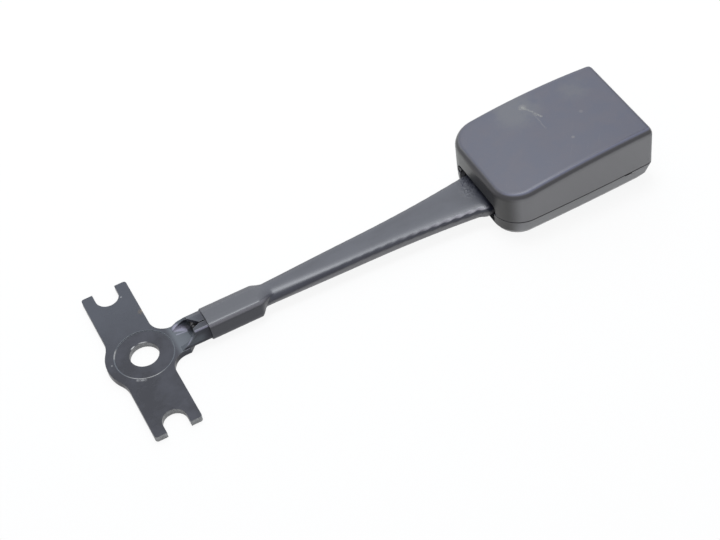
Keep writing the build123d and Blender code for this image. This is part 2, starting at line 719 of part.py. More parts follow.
def ejector():
    slide = band(EJECTOR_X, EJECTOR_X + EJECTOR_L, FRAME_IN - FIT, EJECTOR_Z, EJECTOR_Z + EJECTOR_H)
    front = slide.faces().sort_by(Axis.X)[-1]
    slide = chamfer(front.edges().filter_by(Axis.Y), 0.6)
    pocket_r = EJECTOR_SPRING_R + 0.1
    pocket_l = ejector_pocket() - EJECTOR_X + 1
    axis = Pos(EJECTOR_X - 1 + pocket_l / 2, 0, EJECTOR_MID_Z) * Rot(0, 90, 0)
    slide -= axis * Cylinder(pocket_r, pocket_l)
    return slide


def ejector_spring():
    start = TAB_X + TAB_T + 0.05
    spring = coil(EJECTOR_SPRING_R, EJECTOR_WIRE_R, ejector_pocket() - start - 0.05, EJECTOR_TURNS)
    return Pos(start, 0, EJECTOR_MID_Z) * Rot(0, 90, 0) * spring


def tongue_guide():
    """The funnel that the tongue goes through, held between the two covers."""
    x1 = GUIDE_X + GUIDE_L
    body = band(GUIDE_X, x1, WINDOW_HALF - FIT, WINDOW_Z + 0.1, BUTTON_Z - FIT)
    flange_end = END_WALL_X - BASE_LEAN - 1.6
    body += band(GUIDE_X, flange_end, WINDOW_HALF + 2.0, WINDOW_Z + 0.1, BUTTON_Z - FIT)
    body -= band(GUIDE_X - 1, x1 + 1, TONGUE_W / 2, TONGUE_Z, TONGUE_Z + TONGUE_H)
    mouth = [e for e in body.edges() if abs(e.center().X - x1) < 0.01 and abs(e.center().Y) < WINDOW_HALF - 2]
    mouth = [e for e in mouth if TONGUE_Z - 0.1 < e.center().Z < TONGUE_Z + TONGUE_H + 0.1]
    return chamfer(mouth, 0.5)


# Release button and its springs


def release_button():
    x1 = BUTTON_FRONT
    x0 = x1 - BUTTON_L
    cap = band(x0, x1, BUTTON_HALF, BUTTON_Z, BUTTON_TOP_Z)
    front = cap.faces().sort_by(Axis.X)[-1]
    cap = fillet(front.edges(), 0.9)
    cap -= band(
        x0 - 1,
        x1 - 2.5,
        BUTTON_HALF - BUTTON_WALL,
        BUTTON_Z + BUTTON_WALL,
        BUTTON_TOP_Z - BUTTON_WALL,
    )
    floor_end = TOOTH_X0 + TOOTH_L + BUTTON_TRAVEL + 3.0
    cap -= band(x0 - 1, floor_end, BUTTON_HALF + 1, BUTTON_Z - 1, BUTTON_Z + BUTTON_WALL + 0.01)
    flange_top = BUTTON_TOP_Z - BUTTON_WALL
    flange = block(FLANGE_X, FLANGE_X + FLANGE_T, BUTTON_HALF - 1, FLANGE_HALF, BUTTON_Z + 1.2, flange_top)
    cap += both_sides(flange)
    tip = BUTTON_Z - 1.1
    ramp_len = BUTTON_TRAVEL - 0.1
    arm = [
        (RAMP_X, tip),
        (GUIDE_X - FIT, tip),
        (GUIDE_X - FIT, BUTTON_Z),
        (x1 - 1.5, BUTTON_Z),
        (x1 - 1.5, BUTTON_Z + 3),
        (x0 + 1.5, LATCH_Z - FIT + RAMP_RISE),
        (RAMP_X + ramp_len, LATCH_Z - FIT + RAMP_RISE),
        (RAMP_X, LATCH_Z - FIT),
    ]
    cap += both_sides(prism_y(arm, ARM_IN, ARM_OUT))
    return cap


def button_spring(side):
    start = SPRING_STOP_X + 0.05
    spring = coil(BUTTON_SPRING_R, BUTTON_WIRE_R, FLANGE_X - start - 0.05, BUTTON_TURNS)
    return Pos(start, side * BUTTON_SPRING_Y, BUTTON_SPRING_Z) * Rot(0, 90, 0) * spring


os.makedirs("parts", exist_ok=True)
save(anchor_plate(), "anchor_plate")
save(wire_rope(), "wire_rope")
save(rope_sleeve(), "rope_sleeve")
save(upper_cover(), "upper_cover")
save(lower_cover(), "lower_cover")
save(buckle_frame(), "buckle_frame")
save(rope_saddle(), "rope_saddle")
save(rope_keeper(), "rope_keeper")
save(rope_stud(), "rope_stud")
save(frame_bridge(), "frame_bridge")
save(bridge_rivets(), "bridge_rivets")
save(latch(), "latch")
save(latch_axle(), "latch_axle")
save(axle_rings(), "axle_rings")
save(latch_spring(), "latch_spring")
save(ejector(), "ejector")
save(ejector_spring(), "ejector_spring")
save(tongue_guide(), "tongue_guide")
save(release_button(), "release_button")
save(button_spring(1), "button_spring_left")
save(button_spring(-1), "button_spring_right")
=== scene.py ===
from math import atan2, cos, pi, sin

import bpy
import numpy as np
from mathutils import Matrix, Vector


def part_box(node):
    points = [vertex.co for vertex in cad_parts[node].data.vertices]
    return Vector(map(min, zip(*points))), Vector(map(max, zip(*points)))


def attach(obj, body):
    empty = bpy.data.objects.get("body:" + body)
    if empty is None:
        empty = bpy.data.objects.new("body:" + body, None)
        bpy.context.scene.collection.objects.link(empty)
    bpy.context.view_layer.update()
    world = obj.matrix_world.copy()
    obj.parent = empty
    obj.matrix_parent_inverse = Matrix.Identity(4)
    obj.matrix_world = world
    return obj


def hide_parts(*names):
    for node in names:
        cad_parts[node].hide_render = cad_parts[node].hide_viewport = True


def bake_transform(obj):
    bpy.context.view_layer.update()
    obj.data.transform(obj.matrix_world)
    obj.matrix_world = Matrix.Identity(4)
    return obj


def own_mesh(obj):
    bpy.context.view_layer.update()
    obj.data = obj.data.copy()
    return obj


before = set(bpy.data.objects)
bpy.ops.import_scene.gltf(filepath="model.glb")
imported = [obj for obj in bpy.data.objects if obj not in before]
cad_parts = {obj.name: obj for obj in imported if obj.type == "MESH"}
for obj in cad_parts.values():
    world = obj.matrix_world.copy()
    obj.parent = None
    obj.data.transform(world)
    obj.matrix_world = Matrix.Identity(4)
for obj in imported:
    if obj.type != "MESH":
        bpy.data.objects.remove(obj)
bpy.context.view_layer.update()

MM = 0.001

# The buckle lies on a white table and is seen from its anchor end, from about 48 degrees up.
# A broad softbox on the far side and a smaller lamp nearly overhead shine on the tops.
# The table is a thin white film before a white room, so a head bent down below it still shows.
CAMERA_AZIMUTH = -0.354178
CAMERA_ELEVATION = 0.843955
CAMERA_ROLL = -0.162832
CAMERA_DISTANCE = 673.2 * MM
CAMERA_TARGET = np.array([93.59, -9.17, 5.0]) * MM
CLIP_START = 0.01
FOCAL_PIXELS = 1640.7
PICTURE_WIDTH = 720
SENSOR = 36.0
FLOOR_Z = -0.05 * MM
FLOOR_HALF = 6.0
FLOOR_COLOUR = (0.93, 0.93, 0.93, 1)
FLOOR_CLEAR = 0.90
ROOM_COLOUR = (1, 1, 1, 1)
ROOM_LEVEL = 0.30
LAMP_AIM = (0.10, 0.0, 0.0)
LAMPS = {
    "far_softbox": {
        "power": 11.0,
        "size": 1.8,
        "place": (0.30, 0.75, 0.85),
        "tint": (0.90, 0.95, 1.0),
    },
    "top_lamp": {
        "power": 8.0,
        "size": 0.55,
        "place": (0.21, 0.28, 1.27),
        "tint": (0.93, 0.96, 1.0),
    },
}


class Shade:
    """A socket of one material's nodes, used in Python expressions."""

    def __init__(self, tree, socket=None):
        self.tree = tree
        self.socket = socket

    def node(self, kind, settings, sockets, output=0):
        """A new node with its settings, then the values or links of its sockets."""
        made = self.tree.nodes.new("ShaderNode" + kind)
        for name, value in settings.items():
            setattr(made, name, value)
        for name, value in sockets.items():
            if isinstance(value, Shade):
                self.tree.links.new(value.socket, made.inputs[name])
            else:
                made.inputs[name].default_value = value
        return Shade(self.tree, made.outputs[output] if len(made.outputs) else None)

    def maths(self, operation, first, second):
        return self.node("Math", {"operation": operation}, {0: first, 1: second})

    def __add__(self, other):
        return self.maths("ADD", self, other)

    def __radd__(self, other):
        return self.maths("ADD", other, self)

    def __sub__(self, other):
        return self.maths("SUBTRACT", self, other)

    def __rsub__(self, other):
        return self.maths("SUBTRACT", other, self)

    def __mul__(self, other):
        return self.maths("MULTIPLY", self, other)

    def __rmul__(self, other):
        return self.maths("MULTIPLY", other, self)

    def __abs__(self):
        return self.node("Math", {"operation": "ABSOLUTE"}, {0: self})


def new_material(name):
    """A material with its first shade, and nothing in its tree yet."""
    made = bpy.data.materials.new(name)
    made.use_nodes = True
    made.node_tree.nodes.clear()
    return made, Shade(made.node_tree)


def background_ray(shade):
    """1 for the rays that show the white background: the camera's, and those of gloss and glass."""
    ray = shade.node("LightPath", {}, {}, "Is Camera Ray")
    for kind in ("Is Glossy Ray", "Is Transmission Ray"):
        ray = shade.maths("MAXIMUM", ray, shade.node("LightPath", {}, {}, kind))
    return ray


back = np.array([
    sin(CAMERA_AZIMUTH) * cos(CAMERA_ELEVATION),
    -cos(CAMERA_AZIMUTH) * cos(CAMERA_ELEVATION),
    sin(CAMERA_ELEVATION),
])
level = np.array([cos(CAMERA_AZIMUTH), sin(CAMERA_AZIMUTH), 0.0])
upright = np.cross(back, level)
across = cos(CAMERA_ROLL) * level + sin(CAMERA_ROLL) * upright
upright = cos(CAMERA_ROLL) * upright - sin(CAMERA_ROLL) * level
eye = CAMERA_TARGET + CAMERA_DISTANCE * back
camera = bpy.data.objects.new("camera", bpy.data.cameras.new("camera"))
bpy.context.scene.collection.objects.link(camera)
rows = [[across[i], upright[i], back[i], eye[i]] for i in range(3)]
camera.matrix_world = Matrix(rows + [[0, 0, 0, 1]])
camera.data.sensor_width = SENSOR
camera.data.lens = FOCAL_PIXELS * SENSOR / PICTURE_WIDTH
camera.data.clip_start = CLIP_START
bpy.context.scene.camera = camera
bpy.context.scene.view_settings.view_transform = "Standard"

floor_mesh = bpy.data.meshes.new("table_top")
quarters = ((-1, -1), (1, -1), (1, 1), (-1, 1))
corners = [(x * FLOOR_HALF, y * FLOOR_HALF, FLOOR_Z) for x, y in quarters]
floor_mesh.from_pydata(corners, [], [(0, 1, 2, 3)])
floor = bpy.data.objects.new("table_top", floor_mesh)
bpy.context.scene.collection.objects.link(floor)
floor_material, shade = new_material("white_table")
lit = shade.node("BsdfDiffuse", {}, {"Color": FLOOR_COLOUR})
clear = shade.node("BsdfTransparent", {}, {})
shadow_ray = shade.node("LightPath", {}, {}, "Is Shadow Ray")
share = shade.maths("MAXIMUM", background_ray(shade), shadow_ray)
seen = shade.node("MixShader", {}, {0: share * FLOOR_CLEAR, 1: lit, 2: clear})
shade.node("OutputMaterial", {}, {"Surface": seen})
floor_mesh.materials.append(floor_material)

world = bpy.data.worlds.new("white_room")
bpy.context.scene.world = world
world.use_nodes = True
world.node_tree.nodes.clear()
shade = Shade(world.node_tree)
strength = background_ray(shade) * (1 - ROOM_LEVEL) + ROOM_LEVEL
room = shade.node("Background", {}, {"Color": ROOM_COLOUR, "Strength": strength})
shade.node("OutputWorld", {}, {"Surface": room})

for name, lamp in LAMPS.items():
    made = bpy.data.objects.new(name, bpy.data.lights.new(name, "AREA"))
    made.data.shape = "DISK"
    made.data.size = lamp["size"]
    made.data.energy = lamp["power"]
    made.data.color = lamp["tint"]
    made.location = lamp["place"]
    aim = Vector(LAMP_AIM) - Vector(lamp["place"])
    made.rotation_euler = aim.to_track_quat("-Z", "Y").to_euler()
    bpy.context.scene.collection.objects.link(made)

# The anchor plate, one steel blank 2.8 mm thick with the crimp barrel rolled from its neck.
# It is punched, coined flat round the bolt hole, then dipped in black electrocoat.
# The coat is thin on the punched edges and rubbed off on the rim of the coined seat; punched walls
# that face the near side also carry a painted reflection.
SEAT_R = 12.3
OFF_SEAT_R = (SEAT_R - 0.3, SEAT_R + 0.3)
HOLE_EDGE_R = 6.42
PLATE_TOP = 2.8
# A pair is where a change of finish starts and where it is full, in millimetres.
HOLE_WALL_R = (7.6, 6.8)
FORK_Y = (27.0, 29.0)
FAR_ARM_Y = (-8.0, 30.0)
NECK_X = (11.5, 14.5)
NECK_END_X = (26.5, 22.5)
TROUGH_Z = (7.5, 5.5)
HIGHLIGHT_Z = (PLATE_TOP - 0.9, PLATE_TOP - 0.5)
RIM_Z = (PLATE_TOP - 1.0, PLATE_TOP - 0.6)
CHIPPED_Z = (PLATE_TOP - 0.6, PLATE_TOP - 0.3)
FOLD_X = (20.0, 21.5)
FOLD_WIDTH = (0.8, 0.2)
RIM_WIDTH = (0.36, 0.12)
GLINT_WIDTH = (0.40, 0.12)
# A facing pair is the same for a part of the surface's normal, from -1 to 1.
TROUGH_FACING = (-0.1, 0.25)
HIGHLIGHT_FACING = (0.1, 0.4)
WALL_FACING = (0.5, 0.2)
NEAR_WALL_FACING = (-0.2, -0.8)
FOLD_Y = -5.85
FOLD_Z = 9.2
EDGE_R = 0.35 * MM
COAT_COLOUR = (0.012, 0.013, 0.022, 1)
COAT_PALE = (0.034, 0.036, 0.052, 1)
COAT_FAR_SHEEN = (0.050, 0.056, 0.074, 1)
NECK_SHEEN_COLOUR = (0.118, 0.134, 0.156, 1)
NECK_HIGHLIGHT = (0.40, 0.39, 0.50, 1)
CUT_WALL_COAT_AND_REFLECTION = (0.36, 0.365, 0.37, 1)
SCRATCH_COLOUR = (0.10, 0.105, 0.12, 1)
SEAT_RIM_HIGHLIGHT = (0.12, 0.14, 0.17, 1)
BARE_STEEL_AND_GLINT = (0.32, 0.32, 0.32, 1)
SOIL_COLOUR = (0.20, 0.15, 0.10, 1)
# Scratches: their turn, how few show, and a shift that keeps them apart.
SCRATCHES = ((0.5, 0.69, 0.0), (-0.9, 0.70, 40.0), (1.25, 0.71, 90.0))
# Spots: centre, size and strength. Streaks: start, end, width and strength.
RUBBED_ARCS = (((-4.0, -11.4), 10.5, 1.0), ((-10.6, 6.3), 3.4, 1.0))
HOLE_GLINTS = (((-2.9, 5.8), 1.5, 1.0), ((1.6, 6.2), 2.4, 0.8))
DENTS = (((-13.6, 1.4), 0.45, 0.6), ((3.1, 33.5), 0.5, 1.0))
SOIL = (((7.2, 21.6), 1.7, 1.0),)
CHIP = (((-7.4, -11.0), (-4.6, -12.5), 0.9, 0.55),)
BROAD_HIGHLIGHT = (((15.9, 5.2), (20.4, 2.9), 2.0, 1.0),)
BROAD_HIGHLIGHT_Z = (5.2, 4.2)
FINE_HIGHLIGHTS = (((15.2, 2.2), (19.2, 1.7), 0.45, 0.5), ((14.6, -8.0), (19.4, -5.4), 0.5, 0.4))
SPOT_CORE = 0.35
STREAK_CORE = 0.2


def object_mm(shade):
    """The point on the surface in millimetres, in the object's own frame."""
    place = shade.node("TexCoord", {}, {}, "Object")
    return shade.node("VectorMath", {"operation": "SCALE"}, {0: place, "Scale": 1 / MM})


def split(shade, vector):
    """The three coordinates of a vector."""
    parts = shade.node("SeparateXYZ", {}, {0: vector})
    return [Shade(shade.tree, output) for output in parts.socket.node.outputs]


def facing(shade):
    """Which way the surface faces: the three parts of its normal, in the object's own frame."""
    return split(shade, shade.node("TexCoord", {}, {}, "Normal"))


def noise(shade, place, scale, detail=3.0, rough=0.5):
    sockets = {"Vector": place, "Scale": scale, "Detail": detail, "Roughness": rough}
    return shade.node("TexNoise", {}, sockets)


def ease(shade, value, low, high):
    """0 below low, 1 above high and smooth between; low may be the larger."""
    sockets = {"Value": value, "From Min": low, "From Max": high}
    return shade.node("MapRange", {"interpolation_type": "SMOOTHSTEP"}, sockets)


def blend_colour(shade, share, first, second):
    """The first colour at share 0 and the second at share 1."""
    return shade.node("Mix", {"data_type": "RGBA"}, {0: share, 6: first, 7: second}, 2)


def stretched(shade, place, turn, along, crossways):
    """The point turned about Z and stretched, for lines that run one way."""
    settings = {"vector_type": "TEXTURE"}
    turned = shade.node("Mapping", settings, {"Vector": place, "Rotation": (0, 0, turn)})
    scale = (along, crossways, 1.0)
    return shade.node("VectorMath", {"operation": "MULTIPLY"}, {0: turned, 1: scale})


def length_xy(shade, x, y):
    return shade.maths("POWER", x * x + y * y, 0.5)


def spots(shade, x, y, table):
    """Soft round marks on the plan."""
    marks = 0
    for centre, size, strength in table:
        off = length_xy(shade, x - centre[0], y - centre[1])
        marks = marks + ease(shade, off, size, size * SPOT_CORE) * strength
    return marks


def streaks(shade, x, y, table):
    """Soft straight marks on the plan."""
    marks = 0
    for start, end, width, strength in table:
        run = (end[0] - start[0], end[1] - start[1])
        length = (run[0] ** 2 + run[1] ** 2) ** 0.5
        run = (run[0] / length, run[1] / length)
        along = (x - start[0]) * run[0] + (y - start[1]) * run[1]
        off = (x - start[0]) * -run[1] + (y - start[1]) * run[0]
        held = shade.node("Clamp", {}, {"Value": along, "Min": 0.0, "Max": length})
        away = length_xy(shade, along - held, off)
        marks = marks + ease(shade, away, width, width * STREAK_CORE) * strength
    return marks


def round_edges(shade, radius):
    return shade.node("Bevel", {"samples": 6}, {"Radius": radius})


def edge_wear(shade, rounded):
    """1 where the surface bends sharply, from the rounded and the true normal."""
    true = shade.node("NewGeometry", {}, {}, "Normal")
    dot = shade.node("VectorMath", {"operation": "DOT_PRODUCT"}, {0: rounded, 1: true}, "Value")
    return ease(shade, dot, 0.985, 0.86)


def bump(shade, height, distance, strength=1.0, normal=None):
    sockets = {"Height": height, "Distance": distance, "Strength": strength}
    if normal is not None:
        sockets["Normal"] = normal
    return shade.node("Bump", {}, sockets)


def finish_surface(shade, sockets):
    """The material's surface, from the sockets of its one shader."""
    body = shade.node("BsdfPrincipled", {}, sockets)
    shade.node("OutputMaterial", {}, {"Surface": body})


def dress(node, material):
    """The CAD node keeps its mesh and takes this material on every slot."""
    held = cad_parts[node]
    if not held.material_slots:
        held.data.materials.append(material)
    for place in held.material_slots:
        place.link = "OBJECT"
        place.material = material


plate_coat, shade = new_material("black_electrocoat")
mm = object_mm(shade)
x, y, z = split(shade, mm)
_, side, up = facing(shade)
radius = length_xy(shade, x, y)
cloud = noise(shade, mm, 0.09, 5.0, 0.62)
speckle = noise(shade, mm, 1.6, 4.0, 0.6)
rounded = round_edges(shade, EDGE_R)
colour = blend_colour(shade, ease(shade, cloud, 0.38, 0.66) * 0.75, COAT_COLOUR, COAT_PALE)
# The coat is painted lighter towards the far arm, off the seat: a painted sheen.
off_seat = ease(shade, radius, *OFF_SEAT_R)
colour = blend_colour(shade, ease(shade, y, *FAR_ARM_Y) * off_seat * 0.9, colour, COAT_FAR_SHEEN)

# The neck is painted lighter on its upward faces, most low in the trough: a painted sheen.
neck = ease(shade, x, *NECK_X) * ease(shade, x, *NECK_END_X)
trough_sheen = (ease(shade, z, *TROUGH_Z) * 0.65 + 0.35) * ease(shade, up, *TROUGH_FACING)
colour = blend_colour(shade, neck * trough_sheen * 0.85, colour, NECK_SHEEN_COLOUR)
# Painted highlights: a pale line along the fold at the barrel's near top edge, and streaks of
# painted reflection on the trough's far wall, its floor and the near wing's rim.
off_fold = length_xy(shade, y - FOLD_Y, z - FOLD_Z)
fold_highlight = ease(shade, off_fold, *FOLD_WIDTH) * ease(shade, x, *FOLD_X)
colour = blend_colour(shade, fold_highlight * 0.7, colour, NECK_HIGHLIGHT)
highlight_streaks = streaks(shade, x, y, BROAD_HIGHLIGHT) * ease(shade, z, *BROAD_HIGHLIGHT_Z)
highlight_streaks = highlight_streaks + streaks(shade, x, y, FINE_HIGHLIGHTS)
above = ease(shade, z, *HIGHLIGHT_Z) * ease(shade, up, *HIGHLIGHT_FACING)
colour = blend_colour(shade, shade.maths("MINIMUM", highlight_streaks * above, 0.85), colour, NECK_HIGHLIGHT)

# Punched walls facing the near side, in the hole and at the fork tips, are painted pale: a thinner
# coat, and a painted reflection of the table.
punched = ease(shade, abs(up), *WALL_FACING) * ease(shade, side, *NEAR_WALL_FACING)
in_hole = ease(shade, radius, *HOLE_WALL_R)
at_forks = ease(shade, abs(y), *FORK_Y)
cut_patchiness = ease(shade, speckle, 0.3, 0.6) * 0.4 + 0.6
cut_face_and_reflection = punched * shade.maths("MAXIMUM", in_hole, at_forks) * cut_patchiness
colour = blend_colour(shade, cut_face_and_reflection, colour, CUT_WALL_COAT_AND_REFLECTION)

scratch = 0
for turn, cut, shift in SCRATCHES:
    shifted = shade.node("VectorMath", {"operation": "ADD"}, {0: mm, 1: (shift, shift, 0)})
    lines = noise(shade, stretched(shade, shifted, turn, 0.05, 3.2), 1.0, 2.0)
    scratch = scratch + ease(shade, lines, cut, cut + 0.05) * 0.5
colour = blend_colour(shade, scratch * 0.25, colour, SCRATCH_COLOUR)
soil = spots(shade, x, y, SOIL) * ease(shade, speckle, 0.4, 0.55)
colour = blend_colour(shade, soil * 0.8, colour, SOIL_COLOUR)

rim = ease(shade, abs(radius - SEAT_R), *RIM_WIDTH) * ease(shade, z, *RIM_Z)
arcs = spots(shade, x, y, RUBBED_ARCS)
# Off the rubbed arcs, the seat rim is painted pale blue-grey: a painted highlight along the coined
# step.
colour = blend_colour(shade, rim * (1 - arcs) * 0.65, colour, SEAT_RIM_HIGHLIGHT)
patchy = ease(shade, noise(shade, mm, 0.22, 2.0), 0.42, 0.62)
rim = rim * arcs * (patchy * 0.3 + 0.8)
# Glints on the hole's upper edge are painted as spots of bare steel: painted highlights. The rest
# of the bare steel is wear.
at_hole = ease(shade, abs(radius - HOLE_EDGE_R), *GLINT_WIDTH)
painted_glint = spots(shade, x, y, HOLE_GLINTS) * at_hole
worn = edge_wear(shade, rounded) * (ease(shade, speckle, 0.35, 0.6) * 0.6 + 0.25)
on_top = ease(shade, z, *CHIPPED_Z)
chips = streaks(shade, x, y, CHIP) * ease(shade, noise(shade, mm, 2.4), 0.36, 0.56)
chips = (chips + spots(shade, x, y, DENTS)) * on_top * ease(shade, speckle, 0.3, 0.5)
bare_and_glint = shade.maths("MINIMUM", rim * 0.95 + worn * 0.55 + chips + painted_glint * 0.9, 1.0)
colour = blend_colour(shade, bare_and_glint, colour, BARE_STEEL_AND_GLINT)
height = cloud * 0.5 + speckle * 0.12 + scratch * -0.25
finish_surface(shade, {
    "Base Color": colour,
    "Specular IOR Level": 0.28,
    "Roughness": cloud * 0.26 + 0.16 + bare_and_glint * 0.15,
    "Metallic": bare_and_glint * 0.6,
    "Normal": bump(shade, height, 0.06 * MM, 0.6, rounded),
})
dress("anchor_plate", plate_coat)

# The wire rope, 4.8 mm steel cable bent double round the saddle in the head.
# Six strands of drawn wire are laid round a core strand; both ends are crimped in the barrel.
ROPE_R = 2.4
STRAND_R = 0.80
STRANDS = 6
LAY = 31.0
WIRES = 12
WIRE_LAY = 1.4
TUBE_SIDES = 8
ROPE_START_X = 22.0
BARREL_MID_X = 36.0
ROPE_Z = 4.7
ROPE_CLIMB = 0.01737
LEG_Y = 2.45
LEG_KINK_X = 52.0
LEG_SLOPE = 0.026
LEG_BEND_X = 122.5
LEG_BEND_Y = LEG_Y + LEG_SLOPE * (LEG_BEND_X - LEG_KINK_X)
LEG_BEND_R = 500.0
LEG_END_SLOPE = 0.13
LEG_POINTS = 150
LOOP_R = 9.8
LOOP_POINTS = 40
WIRE_PALE = (0.20, 0.20, 0.21, 1)
WIRE_GRIMY = (0.05, 0.048, 0.045, 1)


def leg_y(x):
    """Sideways place of a leg's centre at x, as the CAD has it."""
    turn_in = LEG_END_SLOPE - LEG_SLOPE
    reach = LEG_BEND_R * turn_in / 2
    out = LEG_Y + LEG_SLOPE * max(x - LEG_KINK_X, 0)
    into = min(max(x - (LEG_BEND_X - reach), 0), 2 * reach)
    return out + into**2 / (2 * LEG_BEND_R) + max(x - (LEG_BEND_X + reach), 0) * turn_in


def rope_z(x):
    return ROPE_Z + (x - BARREL_MID_X) * ROPE_CLIMB


def unit(v):
    return v / np.linalg.norm(v, axis=-1, keepdims=True)


def carried_frames(line):
    """A tangent and two cross directions at each point, turned as little as can be."""
    tangent = unit(np.gradient(line, axis=0))
    side = np.zeros_like(line)
    side[0] = unit(np.cross(tangent[0], (0.3, 0.2, 1.0)))
    for i in range(1, len(line)):
        side[i] = unit(side[i - 1] - tangent[i] * (side[i - 1] @ tangent[i]))
    return tangent, side, np.cross(tangent, side)


def steps_along(line):
    return np.concatenate([[0], np.cumsum(np.linalg.norm(np.diff(line, axis=0), axis=1))])


def mesh_piece(name, points, faces, material, uvs=None):
    """An object from points in millimetres."""
    mesh = bpy.data.meshes.new(name)
    mesh.from_pydata((np.asarray(points) * MM).tolist(), [], faces)
    mesh.materials.append(material)
    mesh.polygons.foreach_set("use_smooth", [True] * len(mesh.polygons))
    if uvs is not None:
        layer = mesh.uv_layers.new(name="along_and_round")
        layer.data.foreach_set("uv", np.asarray(uvs, float).ravel())
    mesh.validate()
    piece = bpy.data.objects.new(name, mesh)
    bpy.context.scene.collection.objects.link(piece)
    return piece


def tube(line, radius, points, faces, uvs):
    """Adds a closed round tube along a line; its UVs run along in mm and once round."""
    count = len(line)
    sides = TUBE_SIDES
    base = sum(len(p) for p in points)
    _, side, third = carried_frames(line)
    turn = (np.arange(sides) * 2 * pi / sides)[None, :, None]
    ring = np.cos(turn) * side[:, None] + np.sin(turn) * third[:, None]
    points.append((line[:, None] + radius * ring).reshape(-1, 3))
    run = steps_along(line)
    for i in range(count - 1):
        for j in range(sides):
            k = (j + 1) % sides
            a, b = base + i * sides, base + (i + 1) * sides
            faces.append((a + j, a + k, b + k, b + j))
            low, high = j / sides, (j + 1) / sides
            uvs += [(run[i], low), (run[i], high), (run[i + 1], high), (run[i + 1], low)]
    faces.append(tuple(base + j for j in reversed(range(sides))))
    faces.append(tuple(base + (count - 1) * sides + j for j in range(sides)))
    uvs += [(0.0, 0.0)] * (2 * sides)


def rope_line():
    """The rope's centre line, out along one leg, round the saddle and back."""
    turn = atan2(LEG_END_SLOPE, 1)
    slant = (1 + LEG_END_SLOPE**2) ** 0.5
    loop_x = LEG_BEND_X + (LOOP_R * slant - LEG_BEND_Y) / LEG_END_SLOPE
    leg_x = np.linspace(ROPE_START_X, loop_x - LOOP_R * sin(turn), LEG_POINTS)
    out = [(x, leg_y(x)) for x in leg_x]
    angles = np.linspace(pi / 2 + turn, -pi / 2 - turn, LOOP_POINTS)[1:-1]
    loop = [(loop_x + LOOP_R * cos(a), LOOP_R * sin(a)) for a in angles]
    plan = out + loop + [(x, -y) for x, y in reversed(out)]
    return np.array([(x, y, rope_z(x)) for x, y in plan])


rope_steel, shade = new_material("drawn_rope_wire")
along, around, _ = split(shade, shade.node("UVMap", {}, {}))
laid = around * (WIRES * 2 * pi) - along * WIRE_LAY
wires = shade.node("Math", {"operation": "SINE"}, {0: laid})
grime = noise(shade, object_mm(shade), 0.5, 4.0)
finish_surface(shade, {
    "Base Color": blend_colour(shade, ease(shade, grime, 0.4, 0.7), WIRE_PALE, WIRE_GRIMY),
    "Metallic": 1.0,
    "Roughness": grime * 0.3 + 0.25,
    "Normal": bump(shade, wires, 0.05 * MM),
})

centre = rope_line()
_, rope_side, rope_third = carried_frames(centre)
lay_turn = steps_along(centre) * 2 * pi / LAY
points, faces, uvs = [], [], []
tube(centre, STRAND_R, points, faces, uvs)
for strand in range(STRANDS):
    turn = (lay_turn + strand * 2 * pi / STRANDS)[:, None]
    off_core = (ROPE_R - STRAND_R) * (np.cos(turn) * rope_side + np.sin(turn) * rope_third)
    tube(centre + off_core, STRAND_R, points, faces, uvs)
rope = mesh_piece("stranded_rope", np.concatenate(points), faces, rope_steel, uvs)
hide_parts("wire_rope")
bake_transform(rope)

# The shrink sleeve, a satin black polyolefin tube shrunk over the crimp barrel and both ropes.
# It is drawn flat between the ropes, shows their lay as ripples along each edge,
# and steps down from the squarer barrel at a soft shoulder.
SLEEVE_X = 27.3
SLEEVE_END_X = 159.4
SLEEVE_WALL = 0.48
STEM_SKIN = 0.58
BARREL_END_X = 50.0
SHOULDER_LEAD = 0.4
SHOULDER_L = 3.6
SHOULDER_TOP_L = 4.2
SHOULDER_RUN_IN = 1.5
CUT_L = 3.0
CUT_EDGE_L = 0.5
CUT_LIP = 0.12
INNER_LIP = -0.4 * CUT_LIP
# Waves of the cut end: depth, how many go round, and their shift.
CUT_WAVES = ((0.12, 2, 0.6), (0.08, 5, 0.0))
EDGE_RINGS = 4
BARREL_RINGS = 24
SHOULDER_RINGS = 22
STEM_RINGS = 200
QUARTER_POINTS = 20
ARC_POINTS = 7
# The quarters start near mid height, by a slight pull, and never on the wrong half.
MIDWAY_PULL = 0.02
WRONG_HALF = 100
OVAL_POINTS = 120
OVAL_AT_BARREL = 2.1
OVAL_AT_HEAD = 3.6
OVAL_RUN = 55.0
FLARE = 0.9
FLARE_BELOW = 0.6
FLARE_X = 149.0
FLARE_L = 8.0
RIPPLE = 0.24
RIPPLE_START_X = 76.0
RIPPLE_FULL_X = 146.0
RIPPLE_TURN = 0.70
RIPPLE_SPREAD = 0.55
RIPPLE_SLANT = 0.8
RIPPLE_SHARPNESS = 1.3
RIPPLE_SINK = 0.6
FAR_RIPPLE_SHARE = 0.30
BARREL_SKIN = [
    (-5.50, 0.10), (-7.70, 2.10), (-7.75, 3.86), (-7.00, 9.74), (-2.37, 9.80),
    (2.62, 9.28), (5.76, 7.66), (7.55, 4.98), (7.55, 2.25), (5.40, 0.10),
]
BARREL_ROUND = [1.6, 2.2, 3.0, 2.2, 3.0, 2.0, 1.6, 1.6, 1.8, 1.6]
ON_BARREL_X = (56.0, 50.0)
MOUTH_X = (143.0, 150.0)
CREASE_X = (146.5, 151.0)
CREASE_Y = (-6.0, 2.0)
CREASE_HEIGHT = 36.0
CREST_X = (100.0, 151.0)
CREST_END_X = (155.0, 152.0)
NEAR_FACING = (-0.15, -0.40)
CORNER_FACING = (0.30, 0.60)
CORNER_END_FACING = (0.97, 0.85)
UNDER_FACING = (0.50, 0.0)
CREST_FACING = (0.78, 0.88)
CREST_END_FACING = (0.985, 0.95)
SLEEVE_COLOUR = (0.015, 0.017, 0.031, 1)
